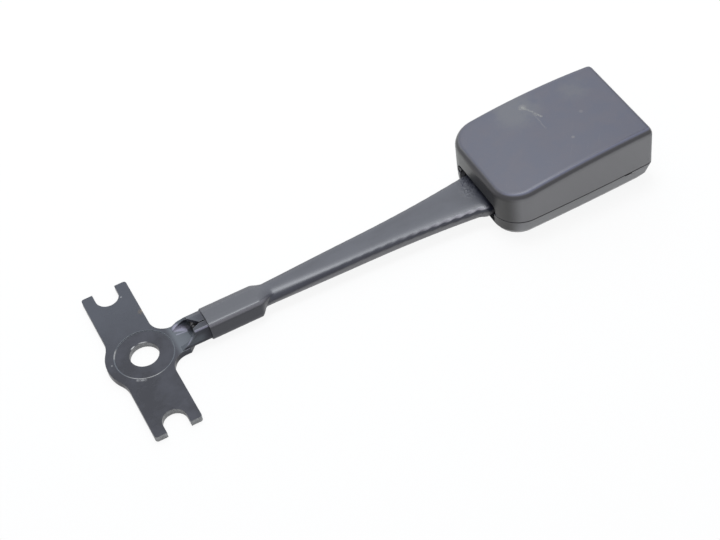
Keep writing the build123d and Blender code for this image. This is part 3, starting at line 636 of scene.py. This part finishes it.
SLEEVE_PALE = (0.027, 0.030, 0.047, 1)
SLEEVE_TAUT = (0.032, 0.034, 0.047, 1)
SLEEVE_EDGE_HIGHLIGHT = (0.150, 0.147, 0.170, 1)
SLEEVE_UNDER_REFLECTION = (0.175, 0.173, 0.185, 1)
SLEEVE_CREST_HIGHLIGHT = (0.30, 0.29, 0.33, 1)
SLEEVE_SCUFF_AND_SHADE = (0.020, 0.019, 0.021, 1)


def smooth_step(share):
    return share * share * (3 - 2 * share)


def rounded_polygon(corners, radii):
    """A closed outline with each corner rounded by an arc of its own radius."""
    made = []
    count = len(corners)
    for i in range(count):
        p = np.array(corners[i], float)
        before = np.array(corners[i - 1], float) - p
        after = np.array(corners[(i + 1) % count], float) - p
        a, b = unit(before), unit(after)
        half = np.arccos(np.clip(a @ b, -1, 1)) / 2
        room = 0.48 * min(np.linalg.norm(before), np.linalg.norm(after))
        reach = min(radii[i] / np.tan(half), room)
        for t in np.linspace(0, 1, ARC_POINTS):
            made.append(p + a * reach * (1 - t) ** 2 + b * reach * t**2)
    return np.array(made)


def area_of(outline):
    after = np.roll(outline, -1, axis=0)
    return (outline[:, 0] * after[:, 1] - after[:, 0] * outline[:, 1]).sum() / 2


def by_quarters(outline, middle):
    """Evenly spaced points of an outline, starting over at its +Y, top, -Y and bottom points."""
    outline = outline[::-1] if area_of(outline) < 0 else outline
    starts = [
        np.argmax(outline[:, 0] - MIDWAY_PULL * abs(outline[:, 1] - middle)),
        np.argmin(abs(outline[:, 0]) + WRONG_HALF * (outline[:, 1] < middle)),
        np.argmin(outline[:, 0] + MIDWAY_PULL * abs(outline[:, 1] - middle)),
        np.argmin(abs(outline[:, 0]) + WRONG_HALF * (outline[:, 1] > middle)),
    ]
    made = []
    for q in range(4):
        i, j = starts[q], starts[(q + 1) % 4]
        run = outline[i:j + 1] if j > i else np.concatenate([outline[i:], outline[:j + 1]])
        gone = steps_along(run)
        for t in np.arange(QUARTER_POINTS) / QUARTER_POINTS:
            made.append([np.interp(t * gone[-1], gone, run[:, c]) for c in (0, 1)])
    return np.array(made)


def stem_outline(x):
    """An oval over both ropes, squarer towards the head; its near side and its underside
    flare out at the head's mouth."""
    run = min(max((x - BARREL_END_X) / OVAL_RUN, 0), 1)
    power = 2 / (OVAL_AT_BARREL + (OVAL_AT_HEAD - OVAL_AT_BARREL) * smooth_step(run))
    flare = FLARE * sin(pi * min(max((x - FLARE_X) / FLARE_L, 0), 1)) ** 2
    turn = np.linspace(0, 2 * pi, OVAL_POINTS + 1)[:-1]
    half_width = leg_y(x) + ROPE_R + STEM_SKIN + flare * (np.cos(turn) < 0)
    half_height = ROPE_R + STEM_SKIN + flare * FLARE_BELOW * (np.sin(turn) < 0)
    across = half_width * np.sign(np.cos(turn)) * np.abs(np.cos(turn)) ** power
    rise = half_height * np.sign(np.sin(turn)) * np.abs(np.sin(turn)) ** power
    return np.column_stack([across, rope_z(x) + rise])


def ripple(x, yz, side):
    """Outward push where a rope's strands press through the sleeve, deeper on the near side."""
    angle = np.arctan2(yz[:, 1] - rope_z(x), side * (yz[:, 0] - side * leg_y(x)))
    held = np.clip(1 - np.abs(angle - RIPPLE_TURN) / RIPPLE_SPREAD, 0, 1)
    wave = np.cos(STRANDS * (angle * RIPPLE_SLANT + side * 2 * pi * x / LAY))
    rise = np.clip((x - RIPPLE_START_X) / (RIPPLE_FULL_X - RIPPLE_START_X), 0, 1)
    crests = np.abs((wave + 1) / 2) ** RIPPLE_SHARPNESS - RIPPLE_SINK
    share = FAR_RIPPLE_SHARE if side > 0 else 1
    return smooth_step(held) * crests * RIPPLE * rise * share


def sleeve_ring(x, inset):
    """The barrel's outline or the stem's, or a blend of both on the shoulder."""
    thick = by_quarters(rounded_polygon(BARREL_SKIN, BARREL_ROUND), ROPE_Z)
    thin = by_quarters(stem_outline(x), rope_z(x))
    high = np.clip((thin[:, 1:] - rope_z(x)) / ROPE_R, 0, 1)
    gone = (x - BARREL_END_X + SHOULDER_LEAD) / (SHOULDER_L + SHOULDER_TOP_L * high**2)
    share = smooth_step(np.clip(gone, 0, 1))
    ring = thick * (1 - share) + thin * share
    outward = np.roll(ring, -1, axis=0) - np.roll(ring, 1, axis=0)
    outward = unit(np.stack([outward[:, 1], -outward[:, 0]], axis=1))
    push = (ripple(x, ring, 1) + ripple(x, ring, -1)) * share[:, 0]
    return ring + outward * (push - inset)[:, None]


def sleeve_skin(stations, inset, lip):
    """The rings of one skin; the first is drawn in by the lip, and the cut end is a little wavy."""
    lap = np.arange(4 * QUARTER_POINTS) * 2 * pi / (4 * QUARTER_POINTS)
    wave = sum(depth * np.sin(count * lap + shift) for depth, count, shift in CUT_WAVES)
    rings = []
    for i, x in enumerate(stations):
        slide = wave * np.clip(1 - (x - SLEEVE_X) / CUT_L, 0, 1)
        ring = sleeve_ring(x, inset if i else inset + lip)
        rings.append(np.column_stack([x + slide, ring]))
    return rings


def sleeve_mesh():
    """Out along the outer skin and back along the inner one, as a closed shell."""
    edge_x = SLEEVE_X + CUT_EDGE_L
    shoulder_x = BARREL_END_X - SHOULDER_RUN_IN
    stem_x = BARREL_END_X + SHOULDER_L
    stations = np.concatenate([
        np.linspace(SLEEVE_X, edge_x, EDGE_RINGS)[:-1],
        np.linspace(edge_x, shoulder_x, BARREL_RINGS)[:-1],
        np.linspace(shoulder_x, stem_x, SHOULDER_RINGS)[:-1],
        np.linspace(stem_x, SLEEVE_END_X, STEM_RINGS),
    ])
    outer = sleeve_skin(stations, 0.0, CUT_LIP)
    inner = sleeve_skin(stations, SLEEVE_WALL, INNER_LIP)
    rings = outer + inner[::-1]
    size = 4 * QUARTER_POINTS
    faces = []
    for i in range(len(rings)):
        a, b = i * size, (i + 1) % len(rings) * size
        for j in range(size):
            k = (j + 1) % size
            faces.append((a + k, b + k, b + j, a + j))
    return np.concatenate(rings), faces


sleeve_plastic, shade = new_material("satin_shrink_sleeve")
mm = object_mm(shade)
x, y, z = split(shade, mm)
_, side, up = facing(shade)
skin = noise(shade, mm, 5.0, 2.0)
drift = noise(shade, stretched(shade, mm, 0.0, 0.06, 0.12), 1.0)
on_barrel = ease(shade, x, *ON_BARREL_X)
near_side = ease(shade, side, *NEAR_FACING)
colour = blend_colour(shade, ease(shade, drift, 0.35, 0.68), SLEEVE_COLOUR, SLEEVE_PALE)
colour = blend_colour(shade, on_barrel * 0.8, colour, SLEEVE_TAUT)
# A pale band on the barrel's near top corner: a painted highlight.
corner = ease(shade, up, *CORNER_FACING) * ease(shade, up, *CORNER_END_FACING) * near_side
colour = blend_colour(shade, corner * on_barrel, colour, SLEEVE_EDGE_HIGHLIGHT)
# The stem's near underside is painted pale: a painted reflection of the table.
under_reflection = ease(shade, up, *UNDER_FACING) * near_side * (1 - on_barrel)
colour = blend_colour(shade, under_reflection, colour, SLEEVE_UNDER_REFLECTION)
# A pale crest along the stem's near top edge, brightening towards the head's mouth: a painted
# highlight.
crest_highlight = ease(shade, up, *CREST_FACING) * ease(shade, up, *CREST_END_FACING) * near_side
crest_highlight = crest_highlight * ease(shade, x, *CREST_X) * ease(shade, x, *CREST_END_X)
colour = blend_colour(shade, crest_highlight, colour, SLEEVE_CREST_HIGHLIGHT)
# Dark scuff streaks over the sleeve, much stronger near the head's mouth: scuffs, and painted shade
# where the sleeve goes into the mouth.
rubbed_and_shaded = ease(shade, noise(shade, stretched(shade, mm, 0.15, 0.5, 2.2), 1.0), 0.56, 0.72)
scuffs_and_mouth_shade = rubbed_and_shaded * (ease(shade, x, *MOUTH_X) * 0.8 + 0.12)
colour = blend_colour(shade, scuffs_and_mouth_shade * 0.7, colour, SLEEVE_SCUFF_AND_SHADE)
creased = ease(shade, x, *CREASE_X) * ease(shade, y, *CREASE_Y)
creases = noise(shade, stretched(shade, mm, 0.5, 0.5, 1.1), 0.8, 3.0, 0.6) * creased
height = skin * 0.4 + drift * 0.3 + creases * CREASE_HEIGHT
finish_surface(shade, {
    "Base Color": colour,
    "Specular IOR Level": 0.62,
    "Roughness": drift * 0.10 + 0.30,
    "Normal": bump(shade, height, 0.03 * MM, 0.4),
})

points, faces = sleeve_mesh()
sleeve = mesh_piece("shrink_sleeve", points, faces, sleeve_plastic)
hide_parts("rope_sleeve")
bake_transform(sleeve)

# The two covers, black polypropylene moulded with a fine spark-eroded grain.
# The upper one clips down over the lower one; the joint runs round at a third of the height.
# Handling has scraped the top pale in a few places; its near top edge is smoother and carries
# painted shade and a painted highlight.
JOINT_Z = 7.9
JOINT_WIDTH = (0.40, 0.20)
JOINT_FACING = (0.6, 0.3)
FOOT_Z = (9.0, 2.0)
TOP_Z = (20.0, 22.0)
MOUTH_FAR_Y = (0.0, 18.0)
TOP_FACING = (0.70, 0.95)
FAR_FACING = (-0.2, 0.3)
MOUTH_FACING = (-0.35, -0.8)
RIM_FACING = (0.76, 0.86)
RIM_END_FACING = (0.975, 0.94)
RIM_SIDE_FACING = (-0.08, -0.25)
RIM_SHADE_FACING = (0.26, 0.55)
RIM_SHADE_END_FACING = (0.88, 0.72)
NEAR_AND_MOUTH_FACING = (0.1, -0.3)
SCRAPE = (((187.7, 17.5), (191.4, 8.0), 0.75, 0.7),)
SCRAPE_HEAD = (((187.7, 17.4), 2.2, 0.45),)
SCRAPE_TAIL = (((189.6, 11.0), (189.3, 1.0), 0.5, 0.22),)
PALE_DOTS = (((195.8, -9.9), 1.0, 0.22), ((206.5, 0.9), 1.2, 0.14))
HAZES = (((184.5, 17.5), 14.0, 0.22), ((211.0, 14.5), 9.0, 0.13))
COVER_COLOUR = (0.014, 0.018, 0.048, 1)
COVER_WARM = (0.022, 0.021, 0.046, 1)
NEAR_WALL_REFLECTION = (0.185, 0.184, 0.194, 1)
FOOT_REFLECTION = (0.275, 0.277, 0.290, 1)
FAR_WALL_REFLECTION = (0.060, 0.062, 0.070, 1)
RIM_SHADE_COLOUR = (0.012, 0.011, 0.017, 1)
RIM_HIGHLIGHT_COLOUR = (0.100, 0.105, 0.160, 1)
MOUTH_WALL_FAR_LIGHT = (0.120, 0.127, 0.126, 1)
MOUTH_WALL_SHADE = (0.008, 0.008, 0.009, 1)
JOINT_COLOUR = (0.008, 0.008, 0.009, 1)
SCUFF_COLOUR = (0.28, 0.275, 0.25, 1)
HAZE_COLOUR = (0.125, 0.140, 0.130, 1)

cover_plastic, shade = new_material("grained_cover_plastic")
mm = object_mm(shade)
x, y, z = split(shade, mm)
out, side, up = facing(shade)
grain = noise(shade, mm, 3.4, 3.0, 0.65)
blotch = noise(shade, mm, 0.11, 4.0, 0.6)
cloud = noise(shade, mm, 0.045)
warmth = ease(shade, blotch * 0.6 + grain * 0.4, 0.40, 0.60)
colour = blend_colour(shade, warmth, COVER_COLOUR, COVER_WARM)

# The walls are painted pale grey, palest on the near side and at the foot, darker on the far side:
# a painted reflection of the white table.
far_side = ease(shade, side, *FAR_FACING)
wall_reflection = blend_colour(shade, far_side, NEAR_WALL_REFLECTION, FAR_WALL_REFLECTION)
foot_reflection = blend_colour(shade, far_side, FOOT_REFLECTION, FAR_WALL_REFLECTION)
# The end wall round the mouth is painted near black on its near part and grey towards the far side:
# painted shade and painted light.
mouth_light_and_shade = blend_colour(shade, ease(shade, y, *MOUTH_FAR_Y), MOUTH_WALL_SHADE, MOUTH_WALL_FAR_LIGHT)
upward = ease(shade, up, *TOP_FACING)
colour = blend_colour(shade, 1 - upward, colour, wall_reflection)
colour = blend_colour(shade, ease(shade, z, *FOOT_Z), colour, foot_reflection)
colour = blend_colour(shade, ease(shade, out, *MOUTH_FACING), colour, mouth_light_and_shade)

# A pale blue line along the near top edge: a painted highlight.
rim_highlight = ease(shade, up, *RIM_FACING) * ease(shade, up, *RIM_END_FACING)
rim_highlight = rim_highlight * ease(shade, side, *RIM_SIDE_FACING)
colour = blend_colour(shade, rim_highlight * 0.9, colour, RIM_HIGHLIGHT_COLOUR)
# A dark band on the top edges that face the near side and the mouth: painted shade. The surface
# there is also smoother and glossier.
near_and_mouth_facing = ease(shade, side + out * 0.8, *NEAR_AND_MOUTH_FACING)
rubbed_and_shaded = ease(shade, up, *RIM_SHADE_FACING) * ease(shade, up, *RIM_SHADE_END_FACING) * near_and_mouth_facing
colour = blend_colour(shade, rubbed_and_shaded * 0.9, colour, RIM_SHADE_COLOUR)

# The marks wander by a fraction of a millimetre, so that none is ruler straight.
wander = noise(shade, mm, 0.16, 3.0, 0.6) * 2.0 - 1.0
wx, wy = x + wander, y + wander
on_top = ease(shade, z, *TOP_Z) * upward
haze = spots(shade, wx, wy, HAZES) * ease(shade, blotch, 0.3, 0.6)
colour = blend_colour(shade, haze * on_top, colour, HAZE_COLOUR)
scuff = streaks(shade, wx, wy, SCRAPE) * ease(shade, grain, 0.42, 0.62)
scuff = scuff + spots(shade, wx, wy, SCRAPE_HEAD) * ease(shade, grain, 0.36, 0.6)
scuff = scuff + streaks(shade, wx, wy, SCRAPE_TAIL) * ease(shade, grain, 0.4, 0.6)
scuff = scuff + spots(shade, x, y, PALE_DOTS)
hairlines = noise(shade, stretched(shade, mm, 0.9, 0.04, 1.6), 1.0, 2.0)
scuff = scuff + ease(shade, hairlines, 0.68, 0.76) * 0.05
scuff = shade.maths("MINIMUM", scuff * on_top, 1.0)
colour = blend_colour(shade, scuff, colour, SCUFF_COLOUR)
joint = ease(shade, abs(z - JOINT_Z), *JOINT_WIDTH) * ease(shade, up, *JOINT_FACING)
colour = blend_colour(shade, joint * 0.9, colour, JOINT_COLOUR)
height = (grain * 0.8 + blotch * 0.6) * (1 - rubbed_and_shaded)
finish_surface(shade, {
    "Base Color": colour,
    "Specular IOR Level": 0.70,
    "Roughness": cloud * 0.10 + 0.38 + scuff * 0.12 - rubbed_and_shaded * 0.10,
    "Normal": bump(shade, height, 0.04 * MM, 0.5),
})
for node in ("upper_cover", "lower_cover"):
    dress(node, cover_plastic)

# The frame, bridge, saddle, keeper, stud and rivets, pressed and turned steel with a zinc plate.
# The frame takes the belt load; the stud is riveted through it and holds the rope's loop down.
ZINC_PALE = (0.52, 0.52, 0.50, 1)
ZINC_DULL = (0.34, 0.34, 0.33, 1)
RIVET_PALE = (0.60, 0.60, 0.59, 1)
RIVET_DULL = (0.42, 0.42, 0.40, 1)
WORN_EDGE = (0.6, 0.6, 0.6, 1)
SMALL_EDGE_R = 0.2 * MM


def metal_material(name, pale, dull, rough, grain_turn=0.0):
    made, shade = new_material(name)
    mm = object_mm(shade)
    bloom = noise(shade, mm, 0.25, 5.0, 0.65)
    drawn = noise(shade, stretched(shade, mm, grain_turn, 0.08, 4.0), 1.0)
    rounded = round_edges(shade, SMALL_EDGE_R)
    colour = blend_colour(shade, ease(shade, bloom, 0.35, 0.65), pale, dull)
    finish_surface(shade, {
        "Base Color": blend_colour(shade, edge_wear(shade, rounded) * 0.5, colour, WORN_EDGE),
        "Metallic": 1.0,
        "Roughness": bloom * 0.25 + drawn * 0.1 + rough,
        "Normal": bump(shade, drawn + bloom, 0.02 * MM, 0.6, rounded),
    })
    return made


zinc = metal_material("zinc_plated_frame", ZINC_PALE, ZINC_DULL, 0.22)
rivet_zinc = metal_material("turned_rivet_zinc", RIVET_PALE, RIVET_DULL, 0.2)
for node in ("buckle_frame", "frame_bridge", "rope_saddle", "rope_keeper"):
    dress(node, zinc)
for node in ("rope_stud", "bridge_rivets"):
    dress(node, rivet_zinc)

# The latch with its axle and rings: hardened spring steel, oiled and blued by heat treatment.
# The tooth at its front end drops through the tongue and into the frame.
LATCH_PALE = (0.16, 0.16, 0.17, 1)
LATCH_DULL = (0.075, 0.078, 0.09, 1)
LATCH_GRAIN_TURN = 1.57
AXLE_PALE = (0.55, 0.55, 0.56, 1)
AXLE_DULL = (0.40, 0.40, 0.41, 1)
latch_steel = metal_material("oiled_latch_steel", LATCH_PALE, LATCH_DULL, 0.26, LATCH_GRAIN_TURN)
axle_steel = metal_material("bright_axle_steel", AXLE_PALE, AXLE_DULL, 0.16)
dress("latch", latch_steel)
for node in ("latch_axle", "axle_rings"):
    dress(node, axle_steel)

# The four springs, cold coiled from bright wire with closed ends.
# Two push the button out, one drives the ejector and one holds the latch down.
SPRING_PALE = (0.50, 0.50, 0.50, 1)
SPRING_DULL = (0.28, 0.28, 0.29, 1)
CLOSED_PITCH = 0.18
TURN_POINTS = 28
spring_steel = metal_material("bright_spring_wire", SPRING_PALE, SPRING_DULL, 0.18)


def spring(name, node, axis, radius, wire, turns):
    """A closed-end coil that fills the CAD spring's box along its axis."""
    low, high = (np.array(corner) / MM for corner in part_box(node))
    middle = (low + high) / 2
    length = high[axis] - low[axis] - 2 * wire
    share = np.linspace(0, 1, int(turns * TURN_POINTS))
    ends = np.clip(np.minimum(share, 1 - share) * turns, 0, 1)
    pitch = CLOSED_PITCH + (1 - CLOSED_PITCH) * smooth_step(ends)
    climb = np.concatenate([[0], np.cumsum((pitch[1:] + pitch[:-1]) / 2)])
    turn = share * turns * 2 * pi
    first, second = (a for a in range(3) if a != axis)
    line = np.empty((len(share), 3))
    line[:, axis] = low[axis] + wire + length * climb / climb[-1]
    line[:, first] = middle[first] + (radius - wire) * np.cos(turn)
    line[:, second] = middle[second] + (radius - wire) * np.sin(turn)
    points, faces, uvs = [], [], []
    tube(line, wire, points, faces, uvs)
    made = mesh_piece(name, points[0], faces, spring_steel, uvs)
    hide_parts(node)
    return made


button_left = spring("button_coil_left", "button_spring_left", 0, radius=2.0, wire=0.3, turns=8)
button_right = spring("button_coil_right", "button_spring_right", 0, radius=2.0, wire=0.3, turns=8)
for made in (button_left, button_right):
    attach(made, "head")
    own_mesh(made)
ejector_coil = spring("ejector_coil", "ejector_spring", 0, radius=1.9, wire=0.3, turns=10)
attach(ejector_coil, "head")
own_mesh(ejector_coil)
latch_coil = spring("latch_coil", "latch_spring", 2, radius=2.6, wire=0.35, turns=5)
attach(latch_coil, "head")
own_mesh(latch_coil)

# The ejector slide and the tongue guide, moulded in acetal, natural and black.
# The guide's funnel lines the slot between the covers that the tongue goes in through.
NATURAL_ACETAL = (0.62, 0.60, 0.52, 1)
BLACK_ACETAL = (0.030, 0.030, 0.033, 1)
SWIRL_DEPTH = 0.78


def moulded_material(name, base, rough):
    made, shade = new_material(name)
    mm = object_mm(shade)
    swirl = noise(shade, mm, 0.3, 4.0, 0.6)
    grain = noise(shade, mm, 4.0, 2.0)
    rounded = round_edges(shade, SMALL_EDGE_R)
    deep = tuple(c * SWIRL_DEPTH for c in base[:3]) + (1,)
    finish_surface(shade, {
        "Base Color": blend_colour(shade, ease(shade, swirl, 0.35, 0.7), base, deep),
        "Roughness": swirl * 0.12 + rough,
        "Normal": bump(shade, grain, 0.02 * MM, 0.5, rounded),
    })
    return made


dress("ejector", moulded_material("natural_acetal", NATURAL_ACETAL, 0.32))
dress("tongue_guide", moulded_material("black_acetal", BLACK_ACETAL, 0.36))

# The release button, moulded in signal red with a slightly glossy front, without words.
# Its two springs push it out to the edge of its opening; pressed, its ramps lift the latch.
BUTTON_RED = (0.55, 0.012, 0.010, 1)
dress("release_button", moulded_material("signal_red_plastic", BUTTON_RED, 0.26))
